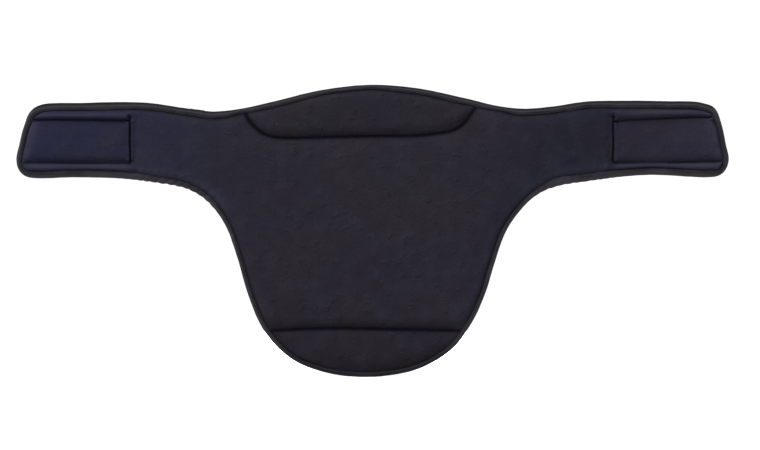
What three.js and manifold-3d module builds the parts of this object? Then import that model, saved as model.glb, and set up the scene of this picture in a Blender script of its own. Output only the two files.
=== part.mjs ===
// Padded chest guard for a horse, worn under the breast tack: a long padded band that wraps
// round the shoulders, with a deep rounded bib below its middle. The lining lies on the horse
// and faces -Y. Four patches of hook tape are sewn to the facing, on the outer side, and their
// stitch lines show as sunk channels in the lining. Millimetres, +X along the band and +Z up,
// with the origin on the flat of the lining, in the middle of the band.
import * as THREE from "three";
import { mergeVertices } from "three/addons/utils/BufferGeometryUtils.js";
import Module from "manifold-3d";

// The finished outer edge as [x, z], clockwise from the top of the left end.
const OUTLINE = [
  // top edge: left arm, crest, right arm
  [-431, 165.8], [-380, 168], [-330, 169.2], [-290, 168], [-248, 162], [-206, 157],
  [-170, 160.8], [-130, 169.6], [-68, 184.4], [-5, 191.6], [57, 187.6], [118, 175],
  [164, 164.2], [198, 160.6], [236, 163.6], [280, 170], [330, 171], [385, 170.4],
  // right end
  [427, 168.8], [446.5, 161.2], [454.8, 142], [461.2, 113], [464.8, 95], [461, 82],
  [453, 74], [438, 71.2],
  // lower edge of the right arm, then down the right side of the bib
  [410, 72.2], [365, 74.4], [325, 71.9], [280, 66], [240, 59.8], [213, 47],
  [191.8, 26.6], [173.6, -1], [159.5, -41], [147.8, -79.4],
  // round foot of the bib
  [130, -118], [104, -152.6], [61, -178], [5, -188.4], [-55.5, -184.2], [-104, -165.8],
  [-140.6, -128.4],
  // up the left side of the bib, then out along the lower edge of the left arm
  [-161.6, -81], [-175.3, -34], [-191.3, 9.2], [-214.4, 39.8], [-240, 55.8], [-285, 64.8],
  [-335, 70], [-390, 71.1],
  // left end
  [-437, 70], [-452, 72.8], [-460.3, 81], [-463.2, 94.5], [-459.5, 114], [-453, 139],
  [-445, 157],
];
const OUTLINE_STEPS = 2; // straight steps between two neighbouring outline points
const ARM_MIDDLE_Z = 118; // between the top and the lower edge of both arms

// Layers, measured through the pad
const PAD_THICKNESS = 11.6; // lining, foam and facing together, where they are full
const MIDDLE_Y = PAD_THICKNESS / 2;
const CLOTH = 1.5; // lining and facing
const GAP = 0.3; // between pieces that touch
const EDGE_HALF = 2.8; // half of the pad where the binding squeezes it
const FOAM_EDGE_HALF = 1;
const HOOK_TAPE = 2;

// Binding tape, folded over the edge
const TAPE = 1;
const TAPE_HALF = EDGE_HALF + GAP + TAPE;
const TAPE_WIDTH = 9; // that shows on each face

// Distances in from the finished edge
const COVER_EDGE = TAPE + GAP;
const FOAM_EDGE = 3.6;
const PATCH_EDGE = TAPE_WIDTH + 2 * GAP;
const CROWN_WIDTH = 8; // from the binding to where the pad has its full thickness
const FULL_PAD = TAPE_WIDTH + GAP + CROWN_WIDTH;
const CROWN_STEPS = 2;

// Where the pad bends: the arms at the shoulders, the ends at their hook patches, and the
// bib above its lower patch
const ARM_HINGE_X = 195;
const END_HINGE_X = 309;
const FLAP_HINGE_Z = -119;
const HINGE_GAP = 0.4;

// Stitch lines of the upper and lower patches as [x, z], running off the pad at both ends
const UPPER_SEAM = [
  [-167, 158], [-158, 142.5], [-143.5, 129.2], [-131, 124], [-111.8, 122], [-64, 122.9],
  [0, 124.3], [55.5, 124.8], [82, 127.3], [101, 130.6], [114, 136], [124.5, 146.4],
  [135, 163],
];
const LOWER_SEAM = [
  [-140, -129.4], [-70, -126], [-18, -126], [23, -127], [78, -128], [125, -129],
];
// Stitch line of the right end patch: up its inner side at x, and out along its two long
// sides, which rise a little. The left one is its mirror image.
const END_SEAM = { x: 314.5, low: 89.5, high: 144.2, outerX: 470, outerLow: 91.2, outerHigh: 148.6 };
const SEAM_CORNER = 3; // radius of its corners
const SEAM_TO_EDGE = 2.5; // from a stitch line to the edge of its patch
const SEAM_STOP = 12; // stitches end this far in from the finished edge

// Threads, each lying in a channel of its own
const THREAD = 0.4; // radius
const CHANNEL = THREAD + GAP;
const THREAD_SIDES = 6; // an even number

const FAR = 1000; // past every edge of the pad
const ROUNDING = 0.01;

const MATERIALS = {
  lining: { color: 0x2a2931, roughness: 0.95 },
  foam: { color: 0x3b3c40, roughness: 1 },
  facing: { color: 0x1e1e24, roughness: 0.85 },
  binding: { color: 0x29282d, roughness: 0.6 },
  hookTape: { color: 0x141417, roughness: 0.8 },
  thread: { color: 0x17171c, roughness: 0.5 },
};

const wasm = await Module();
wasm.setup();

// A closed geometry as a solid that can be joined and cut.
function solid(geometry) {
  const bare = geometry.index ? geometry.toNonIndexed() : geometry.clone();
  bare.deleteAttribute("normal");
  bare.deleteAttribute("uv");
  const merged = mergeVertices(bare, 1e-4);
  const mesh = new wasm.Mesh({
    numProp: 3,
    vertProperties: merged.attributes.position.array,
    triVerts: new Uint32Array(merged.index.array),
  });
  return new wasm.Manifold(mesh);
}

function geometryOf(body) {
  const { numProp, vertProperties, triVerts } = body.getMesh();
  const geometry = new THREE.BufferGeometry();
  geometry.setAttribute("position", new THREE.BufferAttribute(vertProperties, numProp));
  geometry.setIndex(new THREE.BufferAttribute(triVerts, 1));
  geometry.computeVertexNormals();
  return geometry;
}

function smoothCurve(points, closed = false) {
  const control = points.map(([x, z]) => new THREE.Vector3(x, z, 0));
  return new THREE.CatmullRomCurve3(control, closed, "centripetal");
}

// Points of the smooth finished edge, as vectors of x and z.
function finishedEdge() {
  const points = smoothCurve(OUTLINE, true).getPoints(OUTLINE.length * OUTLINE_STEPS);
  points.pop(); // the last point repeats the first
  return points.map(({ x, y }) => new THREE.Vector2(x, y));
}

const EDGE = finishedEdge();

function distanceToEdge(point) {
  const distances = EDGE.map((a, i) => {
    const along = EDGE[(i + 1) % EDGE.length].clone().sub(a);
    const share = point.clone().sub(a).dot(along) / along.lengthSq();
    return a.clone().addScaledVector(along, THREE.MathUtils.clamp(share, 0, 1)).distanceTo(point);
  });
  return Math.min(...distances);
}

function insideEdge({ x, y }) {
  const crossed = EDGE.filter((a, i) => {
    const b = EDGE[(i + 1) % EDGE.length];
    return a.y > y !== b.y > y && x < a.x + ((y - a.y) * (b.x - a.x)) / (b.y - a.y);
  });
  return crossed.length % 2 === 1;
}

// The finished edge moved in by a distance, without the loops that tight corners would make.
// Each point moves along its bisector, far enough to keep its two sides at that distance.
function inset(distance) {
  const count = EDGE.length;
  const moved = EDGE.map((point, i) => {
    const before = point.clone().sub(EDGE[(i + count - 1) % count]).normalize();
    const after = EDGE[(i + 1) % count].clone().sub(point).normalize();
    const along = before.clone().add(after).normalize();
    const inward = new THREE.Vector2(along.y, -along.x);
    return inward.multiplyScalar(distance / along.dot(after)).add(point);
  });
  return moved.filter((point) => distanceToEdge(point) > distance - ROUNDING);
}

// Stands up a geometry drawn flat in x and z and extruded, with its highest y at highY.
function standing(geometry, highY) {
  return geometry.rotateX(Math.PI / 2).translate(0, highY, 0);
}

// A slab of an outline, reaching half to each side of the pad's middle.
function slab(points, half) {
  const geometry = new THREE.ExtrudeGeometry(new THREE.Shape(points), {
    depth: 2 * half,
    bevelEnabled: false,
  });
  return solid(standing(geometry, MIDDLE_Y + half));
}

// The padded middle, with a round crown down to the squeezed edge. Grow moves both faces out.
function pillow(grow) {
  const depth = 2 * (EDGE_HALF + grow);
  const geometry = new THREE.ExtrudeGeometry(new THREE.Shape(inset(FULL_PAD)), {
    depth,
    bevelThickness: MIDDLE_Y - EDGE_HALF,
    bevelSize: CROWN_WIDTH,
    bevelSegments: CROWN_STEPS,
  });
  return solid(standing(geometry, MIDDLE_Y + depth / 2));
}

// The pad with its squeezed edge, which ends at a distance in from the finished edge.
function pad(grow, edge) {
  return pillow(grow).add(slab(inset(edge), EDGE_HALF + grow));
}

function box(minX, maxX, minY, maxY, minZ, maxZ) {
  const geometry = new THREE.BoxGeometry(maxX - minX, maxY - minY, maxZ - minZ);
  return solid(geometry.translate((minX + maxX) / 2, (minY + maxY) / 2, (minZ + maxZ) / 2));
}

// The space of each rigid body, between the lines where the pad bends.
function bodySpaces() {
  const cut = HINGE_GAP / 2;
  const space = (minX, maxX, minZ, maxZ) => box(minX, maxX, -FAR, FAR, minZ, maxZ);
  return {
    centre: space(cut - ARM_HINGE_X, ARM_HINGE_X - cut, FLAP_HINGE_Z + cut, FAR),
    left_arm: space(cut - END_HINGE_X, -ARM_HINGE_X - cut, -FAR, FAR),
    left_end: space(-FAR, -END_HINGE_X - cut, -FAR, FAR),
    right_arm: space(ARM_HINGE_X + cut, END_HINGE_X - cut, -FAR, FAR),
    right_end: space(END_HINGE_X + cut, FAR, -FAR, FAR),
    lower_flap: space(-ARM_HINGE_X, ARM_HINGE_X, -FAR, FLAP_HINGE_Z - cut),
  };
}

// The stitch line of an end patch as [x, z]; side is -1 for the left one.
function endSeam(side) {
  const { x, low, high, outerX, outerLow, outerHigh } = END_SEAM;
  const curveX = x + SEAM_CORNER;
  const straightX = x + 3 * SEAM_CORNER;
  const middleX = (x + outerX) / 2;
  const points = [
    [outerX, outerHigh], [middleX, (high + outerHigh) / 2], [straightX, high], [curveX, high],
    [x, high - SEAM_CORNER], [x, (high + low) / 2], [x, low + SEAM_CORNER],
    [curveX, low], [straightX, low], [middleX, (low + outerLow) / 2], [outerX, outerLow],
  ];
  return points.map(([px, pz]) => [side * px, pz]);
}

// The ground of an end patch as vectors of x and z.
function endGround(side) {
  const { x, low, high, outerX, outerLow, outerHigh } = END_SEAM;
  const corners = [
    [x - SEAM_TO_EDGE, low - SEAM_TO_EDGE], [outerX, outerLow - SEAM_TO_EDGE],
    [outerX, outerHigh + SEAM_TO_EDGE], [x - SEAM_TO_EDGE, high + SEAM_TO_EDGE],
  ];
  return corners.map(([px, pz]) => new THREE.Vector2(side * px, pz));
}

// The ground of the upper or lower patch: all that lies beyond its stitch line, and a strip
// of SEAM_TO_EDGE on the near side. Beyond is 1 for above the line and -1 for below it.
function segmentGround(line, beyond) {
  const curve = smoothCurve(line);
  const steps = 3 * line.length;
  const near = curve.getPoints(steps).map((point, i) => {
    const along = curve.getTangent(i / steps);
    const offset = beyond * SEAM_TO_EDGE;
    return new THREE.Vector2(point.x + along.y * offset, point.y - along.x * offset);
  });
  const first = near[0];
  const last = near[near.length - 1];
  return [...near, new THREE.Vector2(last.x, beyond * FAR), new THREE.Vector2(first.x, beyond * FAR)];
}

const PATCHES = {
  left: { seam: endSeam(-1), ground: endGround(-1), steps: 24 },
  right: { seam: endSeam(1), ground: endGround(1), steps: 24 },
  upper: { seam: UPPER_SEAM, ground: segmentGround(UPPER_SEAM, 1), steps: 20 },
  lower: { seam: LOWER_SEAM, ground: segmentGround(LOWER_SEAM, -1), steps: 12 },
};

// How far a face of the pad stands from its middle, at a distance in from the finished edge.
function halfThickness(distance) {
  const outward = THREE.MathUtils.clamp((FULL_PAD - distance) / CROWN_WIDTH, 0, 1);
  return EDGE_HALF + (MIDDLE_Y - EDGE_HALF) * Math.sqrt(1 - outward * outward);
}

// A rod along a stitch line, its middle sunk by the thread's radius into the lining, which is
// side -1, or into the face of the patch, which is side 1.
function seamRod({ seam, steps }, side, radius) {
  const grow = side > 0 ? GAP + HOOK_TAPE : 0;
  const path = smoothCurve(seam)
    .getSpacedPoints(4 * steps)
    .map(({ x, y }) => new THREE.Vector2(x, y))
    .filter((point) => insideEdge(point) && distanceToEdge(point) > SEAM_STOP)
    .map((point) => {
      const out = halfThickness(distanceToEdge(point)) + grow - THREAD;
      return new THREE.Vector3(point.x, MIDDLE_Y + side * out, point.y);
    });
  const section = new THREE.Shape().absarc(0, 0, radius, 0, 2 * Math.PI);
  const geometry = new THREE.ExtrudeGeometry(section, {
    steps,
    curveSegments: THREAD_SIDES / 2, // a full circle takes twice as many sides
    bevelEnabled: false,
    extrudePath: new THREE.CatmullRomCurve3(path),
  });
  return solid(geometry);
}

const breastplate = new THREE.Group();

function addPart(name, body, material) {
  const mesh = new THREE.Mesh(
    geometryOf(body),
    new THREE.MeshStandardMaterial({ ...MATERIALS[material], metalness: 0 }),
  );
  mesh.name = name;
  breastplate.add(mesh);
}

// Lining, foam and facing, with one piece of each in every body.
function addLayers(spaces) {
  const inside = pillow(-CLOTH).add(slab(inset(0), EDGE_HALF - CLOTH));
  const cloths = pad(0, COVER_EDGE).subtract(inside);
  const front = box(-FAR, FAR, -FAR, MIDDLE_Y, -FAR, FAR);
  const channels = Object.values(PATCHES).map((patch) => seamRod(patch, -1, CHANNEL));
  const lining = channels.reduce((cloth, channel) => cloth.subtract(channel), cloths.intersect(front));
  const facing = cloths.subtract(front);
  const foam = pillow(-CLOTH - GAP).add(slab(inset(FOAM_EDGE), FOAM_EDGE_HALF));
  for (const [name, space] of Object.entries(spaces)) {
    addPart(`lining_${name}`, lining.intersect(space), "lining");
    addPart(`foam_${name}`, foam.intersect(space), "foam");
    addPart(`facing_${name}`, facing.intersect(space), "facing");
  }
}

// What a run of binding is called, from its body and where it lies there.
function runName(bodyName, run) {
  const { min, max } = run.boundingBox();
  const above = min[2] > ARM_MIDDLE_Z;
  if (bodyName.endsWith("arm")) return `binding_${bodyName}_${above ? "top" : "bottom"}`;
  if (bodyName !== "centre") return `binding_${bodyName}`;
  if (above) return "binding_crest";
  return max[0] < 0 ? "binding_bib_left" : "binding_bib_right";
}

// Binding tape all the way round, with a run for each stretch of edge in each body.
function addBinding(spaces) {
  const tape = slab(inset(0), TAPE_HALF)
    .subtract(slab(inset(TAPE), TAPE_HALF - TAPE))
    .subtract(slab(inset(TAPE_WIDTH), FAR));
  for (const [name, space] of Object.entries(spaces)) {
    tape.intersect(space).decompose().forEach((run) => addPart(runName(name, run), run, "binding"));
  }
}

// Hook patches on the facing, and the two threads of each seam.
function addPatches() {
  const back = box(-FAR, FAR, MIDDLE_Y, FAR, -FAR, FAR);
  const tape = pad(GAP + HOOK_TAPE, COVER_EDGE)
    .subtract(pad(GAP, 0))
    .intersect(slab(inset(PATCH_EDGE), FAR))
    .intersect(back);
  for (const [name, patch] of Object.entries(PATCHES)) {
    const sheet = tape.intersect(slab(patch.ground, FAR));
    addPart(`hook_patch_${name}`, sheet.subtract(seamRod(patch, 1, CHANNEL)), "hookTape");
    addPart(`seam_thread_${name}_lining_side`, seamRod(patch, -1, THREAD), "thread");
    addPart(`seam_thread_${name}_patch_side`, seamRod(patch, 1, THREAD), "thread");
  }
}

const spaces = bodySpaces();
addLayers(spaces);
addBinding(spaces);
addPatches();

export default breastplate;
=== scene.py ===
"""The look of the padded chest guard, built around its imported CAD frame.

Lengths are millimetres along the frame's axes until a mesh is made, where MM turns them to
metres. A flat place is a pair (x, z). Half is how far a face stands from the pad's middle.
"""

import math

import bpy
import numpy as np
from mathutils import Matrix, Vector
from mathutils.bvhtree import BVHTree
from mathutils.geometry import delaunay_2d_cdt
from mathutils.kdtree import KDTree


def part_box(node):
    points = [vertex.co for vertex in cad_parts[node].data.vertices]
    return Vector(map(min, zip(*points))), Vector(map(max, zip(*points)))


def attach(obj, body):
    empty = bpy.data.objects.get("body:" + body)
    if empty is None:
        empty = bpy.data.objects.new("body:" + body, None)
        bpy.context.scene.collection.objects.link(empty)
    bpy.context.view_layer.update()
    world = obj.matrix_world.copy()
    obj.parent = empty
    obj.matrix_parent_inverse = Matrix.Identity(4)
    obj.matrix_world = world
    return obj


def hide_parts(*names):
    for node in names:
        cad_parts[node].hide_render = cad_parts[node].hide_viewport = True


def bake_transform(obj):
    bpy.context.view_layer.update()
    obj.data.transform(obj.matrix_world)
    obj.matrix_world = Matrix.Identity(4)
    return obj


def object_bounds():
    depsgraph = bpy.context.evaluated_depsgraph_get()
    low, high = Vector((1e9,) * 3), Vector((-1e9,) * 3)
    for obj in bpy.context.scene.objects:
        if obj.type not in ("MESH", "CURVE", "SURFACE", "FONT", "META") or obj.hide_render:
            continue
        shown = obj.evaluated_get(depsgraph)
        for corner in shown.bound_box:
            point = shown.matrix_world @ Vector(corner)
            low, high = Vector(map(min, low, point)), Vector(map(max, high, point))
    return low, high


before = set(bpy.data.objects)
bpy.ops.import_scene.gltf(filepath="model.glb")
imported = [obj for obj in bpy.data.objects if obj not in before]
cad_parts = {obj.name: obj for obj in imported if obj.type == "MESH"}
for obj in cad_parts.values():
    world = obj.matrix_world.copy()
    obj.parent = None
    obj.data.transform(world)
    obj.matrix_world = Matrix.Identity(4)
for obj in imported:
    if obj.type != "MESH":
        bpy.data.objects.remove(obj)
cad_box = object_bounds()

MM = 0.001

# The finished outer edge, clockwise from the top of the left end.
OUTLINE = [
    # top edge: left arm, crest, right arm
    (-431, 165.8), (-380, 168), (-330, 169.2), (-290, 168), (-248, 162), (-206, 157),
    (-170, 160.8), (-130, 169.6), (-68, 184.4), (-5, 191.6), (57, 187.6), (118, 175),
    (164, 164.2), (198, 160.6), (236, 163.6), (280, 170), (330, 171), (385, 170.4),
    # right end
    (427, 168.8), (446.5, 161.2), (454.8, 142), (461.2, 113), (464.8, 95), (461, 82),
    (453, 74), (438, 71.2),
    # lower edge of the right arm, then down the right side of the bib
    (410, 72.2), (365, 74.4), (325, 71.9), (280, 66), (240, 59.8), (213, 47),
    (191.8, 26.6), (173.6, -1), (159.5, -41), (147.8, -79.4),
    # round foot of the bib
    (130, -118), (104, -152.6), (61, -178), (5, -188.4), (-55.5, -184.2), (-104, -165.8),
    (-140.6, -128.4),
    # up the left side of the bib, then out along the lower edge of the left arm
    (-161.6, -81), (-175.3, -34), (-191.3, 9.2), (-214.4, 39.8), (-240, 55.8), (-285, 64.8),
    (-335, 70), (-390, 71.1),
    # left end
    (-437, 70), (-452, 72.8), (-460.3, 81), (-463.2, 94.5), (-459.5, 114), (-453, 139),
    (-445, 157),
]

# Stitch lines of the four patches, running off the pad at both ends.
UPPER_SEAM = [
    (-167, 158), (-158, 142.5), (-143.5, 129.2), (-131, 124), (-111.8, 122), (-64, 122.9),
    (0, 124.3), (55.5, 124.8), (82, 127.3), (101, 130.6), (114, 136), (124.5, 146.4),
    (135, 163),
]
LOWER_SEAM = [(-140, -129.4), (-70, -126), (-18, -126), (23, -127), (78, -128), (125, -129)]
LEFT_SEAM = [
    (-470, 146.4), (-392, 146), (-322, 144.8), (-315.9, 144.6), (-314.8, 143.4), (-314.5, 117),
    (-314.4, 90.7), (-315.6, 89.5), (-322, 89.4), (-392, 89.6), (-475, 90),
]
RIGHT_SEAM = [
    (470, 149.6), (405, 148.6), (350, 145.6), (321, 143.6), (315.2, 143.2), (314, 142),
    (314, 117), (314, 91.1), (315.2, 89.9), (321, 89.7), (392, 90.2), (475, 92),
]
SEAMS = {"left": LEFT_SEAM, "right": RIGHT_SEAM, "upper": UPPER_SEAM, "lower": LOWER_SEAM}
SEAM_TO_EDGE = 2.5
STITCH = 3.2
BINDING_STITCH = 3.4

# Where the end patches' stitch lines are: the upright one, and the level ones.
END_UPRIGHT = 314.5
END_LOW = 90
END_HIGH = 147

# The upright stitches of the end patches run on past their upper corners.
SPURS = {
    "left_spur": [(-314.8, 144), (-315, 149.5)],
    "right_spur": [(314, 143), (314.2, 148.5)],
}

# Thickness, taken from the frame where it has it.
MIDDLE = sum(c.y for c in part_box("foam_centre")) / 2 / MM
FULL_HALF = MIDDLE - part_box("lining_centre")[0].y / MM
RIM_HALF = 2.4
ROLL_HEIGHT = 5.4
PLUMP = 1.3
PILLOW = 15
HOOK_TAPE = 2.0

# The pieces are cut where the pad doesn't bend. A bend reaches equally far past its hinge
# on both sides.
ARM_CUT = 254
BODY_CUT = 160
CUTS = (-ARM_CUT, -BODY_CUT, BODY_CUT, ARM_CUT)

# Spacing of the tape's sections, and of the samples that distances are measured from.
STATION = 1.3
FINE = 0.4


# ---- curves and distances

def spline(points, closed=False, steps=12):
    """A centripetal Catmull-Rom curve through the points, as an array of flat places."""
    p = np.array(points, float)
    if closed:
        p = np.vstack([p[-1], p, p[0], p[1]])
    else:
        p = np.vstack([2 * p[0] - p[1], p, 2 * p[-1] - p[-2]])
    u = np.linspace(0, 1, steps, endpoint=False)[:, None]
    out = []
    for a, b, c, d in zip(p, p[1:], p[2:], p[3:]):
        ta, tb, tc = (math.sqrt(np.linalg.norm(q)) for q in (b - a, c - b, d - c))
        start = ((b - a) / ta - (c - a) / (ta + tb) + (c - b) / tb) * tb
        end = ((c - b) / tb - (d - b) / (tb + tc) + (d - c) / tc) * tb
        bend = -3 * b + 3 * c - 2 * start - end
        out.append(b + start * u + bend * u**2 + (2 * b - 2 * c + start + end) * u**3)
    return np.vstack(out if closed else out + [p[-2:-1]])


def along(line, closed=False):
    """Arc length at each point of a line, and at its end again where it is closed."""
    loop = np.vstack([line, line[:1]]) if closed else line
    return np.r_[0, np.cumsum(np.linalg.norm(np.diff(loop, axis=0), axis=1))]


def places_at(at, s, line):
    """The places at some lengths along a line, where s is the length at each of its points."""
    return np.stack([np.interp(at, s, column) for column in line.T], axis=1)


def respaced(line, spacing, closed=False):
    """The line again with even steps of about the spacing."""
    s = along(line, closed)
    loop = np.vstack([line, line[:1]]) if closed else line
    count = max(2, round(s[-1] / spacing))
    out = places_at(np.linspace(0, s[-1], count + 1), s, loop)
    return out[:-1] if closed else out


def normals_of(line, closed=False):
    """Unit normals to the right of a line's direction, which is inward on the edge."""
    if closed:
        tangent = np.roll(line, -1, 0) - np.roll(line, 1, 0)
    else:
        tangent = np.gradient(line, axis=0)
    tangent /= np.linalg.norm(tangent, axis=1)[:, None]
    return np.c_[tangent[:, 1], -tangent[:, 0]]


class Near:
    """Distances from flat places to the nearest of many close samples of a line."""

    def __init__(self, samples):
        self.tree = KDTree(len(samples))
        for i, (x, z) in enumerate(samples):
            self.tree.insert((x, z, 0), i)
        self.tree.balance()

    def __call__(self, places):
        found = [self.tree.find((x, z, 0)) for x, z in places]
        return np.array([f[2] for f in found]), np.array([f[1] for f in found])


def smooth(t, low=0.0, high=1.0):
    """0 below low, 1 above high, and a smooth step between."""
    t = np.clip((t - low) / (high - low), 0, 1)
    return t * t * (3 - 2 * t)


def ripple(s, wavelength, seed):
    """Smooth noise along a length, between about -1 and 1."""
    rng = np.random.default_rng(seed)
    knots = rng.uniform(-1, 1, int(np.max(s) / wavelength) + 4)
    i = np.floor(s / wavelength).astype(int)
    t = smooth(s / wavelength - i)
    return knots[i] * (1 - t) + knots[i + 1] * t


def swell(places, wavelength, seed, waves=9):
    """Smooth noise over the plane, between about -1 and 1."""
    rng = np.random.default_rng(seed)
    angle, phase = rng.uniform(0, 2 * math.pi, (2, waves))
    length = wavelength * rng.uniform(0.7, 1.4, waves)
    across = places[:, :1] * np.cos(angle) + places[:, 1:] * np.sin(angle)
    return np.sin(2 * math.pi * across / length + phase).sum(1) / math.sqrt(waves)


# ---- the edge and its binding

EDGE = respaced(spline(OUTLINE, True), STATION, True)
EDGE_IN = normals_of(EDGE, True)
EDGE_S = along(EDGE, True)[:-1]
FINE_EDGE = respaced(spline(OUTLINE, True, 60), FINE, True)
FINE_IN = normals_of(FINE_EDGE, True)


def tape_width(places):
    """How far the binding reaches in from the edge, which the sewing left uneven."""
    x, z = np.abs(places[:, 0]), places[:, 1]
    lower = smooth(-z, -100, -80)
    arm = smooth(x, 165 + 25 * lower, 200 + 50 * lower)
    arm = arm * (0.35 + 0.65 * smooth(-x, -458, -440))
    end = smooth(x, 290, 330) * arm
    beside_top = smooth(np.abs(places[:, 0] + 29), 20, 70)
    crest_side = beside_top * smooth(-x, -190, -130) * smooth(z, 140, 160)
    lapped = smooth(places[:, 0], 215, 245) * smooth(-x, -330, -290) * lower
    pulled = smooth(-places[:, 0], 205, 235) * smooth(-x, -310, -280) * lower
    return (6.4 + 2.5 * arm + 0.3 * arm * lower + 0.6 * arm * (1 - lower) + 0.9 * end
            + 1.8 * crest_side + 1.2 * lapped - 1.1 * pulled)


# Spacing of the gathers.
PUCKER = 10.5


def puckers(s, seed):
    """Folds of gathered cloth along a length: round humps that meet in sharp dents, -1 to 1."""
    swing = 0.45 * PUCKER * ripple(s, 2.6 * PUCKER, seed)
    strength = 0.7 + 0.3 * ripple(s, 1.3 * PUCKER, seed + 1)
    return strength * (2.2 * np.abs(np.sin(math.pi * (s + swing) / PUCKER)) - 1.4)


def gather(places):
    """How crinkled the binding is: it is along the lower edges of the arms, most on the left."""
    x, z = np.abs(places[:, 0]), places[:, 1]
    most = np.where(places[:, 0] < 0, 1, 0.5)
    return most * smooth(x, 190, 225) * smooth(-x, -345, -290) * smooth(-z, -90, -75)


LIP = tape_width(EDGE)
FINE_LIP = tape_width(FINE_EDGE)
edge_near = Near(FINE_EDGE)
SEAM_LINES = {name: respaced(spline(points), FINE) for name, points in SEAMS.items()}
SEAM_LINES.update({name: respaced(np.array(ends), FINE) for name, ends in SPURS.items()})


def inside(places):
    """Whether flat places lie inside the finished edge."""
    _, i = edge_near(places)
    return ((places - FINE_EDGE[i]) * FINE_IN[i]).sum(1) > 0


def from_lip(places):
    """Distance in from the binding's inner edge, negative under the binding."""
    d, i = edge_near(places)
    return d - FINE_LIP[i]


# Stitch lines end just after they go under the binding.
HIDDEN_SEAM = 2
for name, line in SEAM_LINES.items():
    SEAM_LINES[name] = line[inside(line) & (from_lip(line) > -HIDDEN_SEAM)]
SEAM_SAMPLES = np.vstack(list(SEAM_LINES.values()))
seam_near = Near(SEAM_SAMPLES)
SEAM_S = np.concatenate([along(line) for line in SEAM_LINES.values()])


# ---- heights

def rise(t, reach):
    """The pad's shoulder: 0 at a line that squeezes it, towards 1 away from it."""
    return 1 - np.exp(-((np.maximum(t, 0) / reach) ** 1.15))


def front_half(places, puff):
    """How far the lining stands from the middle of the pad. Puff is what pressure adds."""
    t = from_lip(places)
    seam, j = seam_near(places)
    x, z = np.abs(places[:, 0]), places[:, 1]
    above = smooth((z - SEAM_SAMPLES[j, 1]) / np.maximum(seam, 0.3), -0.6, 0.6)
    at_end = smooth(x, 285, 318)
    in_patch = inside_end_patch(places)
    crest = smooth(z, 120, 160) * smooth(-x, -200, -150)
    foot = smooth(-z, 90, 150)
    shoulder = rise(t + 0.3, 3.8 - 1.5 * at_end + 3.6 * foot + 1.5 * crest)
    stitched = 1 + 0.1 * np.cos(2 * math.pi * SEAM_S[j] / STITCH) + 0.12 * ripple(SEAM_S[j], 9, 8)
    from_stitches = np.maximum(seam - 0.3, 0) * stitched
    channel = squeeze(from_stitches, above, PILLOW - 7 * in_patch, upright(places))
    free = shoulder * (1 - 0.98 * channel)
    in_strip, wave = strips(places, t, seam)
    roll = ROLL_HEIGHT * wave * (1 - 0.22 * smooth(-z, -115, -105))
    uneven = (0.25 * swell(places, 90, 5) + 0.2 * swell(places, 30, 6)
              + 0.05 * swell(places, 12, 7))
    crown = FULL_HALF - RIM_HALF + PLUMP - 0.7 * in_patch - 0.8 * crest + puff + uneven
    raised = crown * free * (1 - in_strip) + roll * in_strip
    return RIM_HALF + raised + wrinkles(places, t)


def wrinkles(places, t):
    """Folds that run in from the gathered binding, and small nips beside every seam."""
    _, i = edge_near(places)
    seam, j = seam_near(places)
    s = i * FINE
    pull = gather(FINE_EDGE[i]) * np.exp(-np.maximum(t, 0) / 9)
    fold = puckers(s + 0.35 * t, 21) + 0.5 * ripple(s, 4.5, 3)
    nip = 0.2 * ripple(s, 5, 41) * np.exp(-np.maximum(t, 0) / 4)
    nip += 0.18 * ripple(SEAM_S[j], 6, 42) * np.exp(-seam / 4) * smooth(seam, 0.5, 2)
    return (0.7 * pull * fold + nip) * smooth(t, 0, 2.5)


def inside_end_patch(places):
    """1 inside the stitch lines of the two end patches."""
    x, z = np.abs(places[:, 0]), places[:, 1]
    level = smooth(z, END_LOW, END_LOW + 3) * smooth(-z, -END_HIGH, 3 - END_HIGH)
    return smooth(x, END_UPRIGHT - 1.5, END_UPRIGHT + 1.5) * level


def strips(places, t, seam):
    """1 on the narrow strips between an end patch's seams and the binding, which puff up in
    a roll, and the roll's height across each strip, 0 at both sides and 1 at the top."""
    between = np.maximum(t, 0) + seam + 1e-6
    at_end = smooth(np.abs(places[:, 0]), 285, 318)
    narrow = smooth(-between, -19, -14) * smooth(t, -1, 0)
    x, z = places[:, 0], places[:, 1]
    sag = np.where(z < 110, 0.7, np.where(x < 0, 1.2, 0.85))
    wave = np.sin(math.pi * np.clip(t / between, 0, 1) ** sag)
    return at_end * (1 - inside_end_patch(places)) * narrow, wave


def squeeze(d, above, width, tight):
    """1 on a stitch line, falling to 0 away from it.

    The padding above a line sags over it in a round pillow of the width given, and below
    the line it rises at once and then only slowly.
    """
    pillow = np.clip(1 - d / width, 0, 1) ** 2
    step = 0.57 * np.exp(-d / 1.7) + 0.43 * np.exp(-d / 18)
    return (above * pillow + (1 - above) * step) * (1 - tight) + tight * np.exp(-d / 0.9)


def upright(places):
    """1 beside the short upright stitch line of an end patch, which is pulled tightest."""
    x, z = np.abs(places[:, 0]), places[:, 1]
    level = smooth(z, END_LOW, END_LOW + 4) * smooth(-z, -END_HIGH - 4, -END_HIGH - 1)
    return smooth(-np.abs(x - END_UPRIGHT), -6, -3) * level


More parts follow.
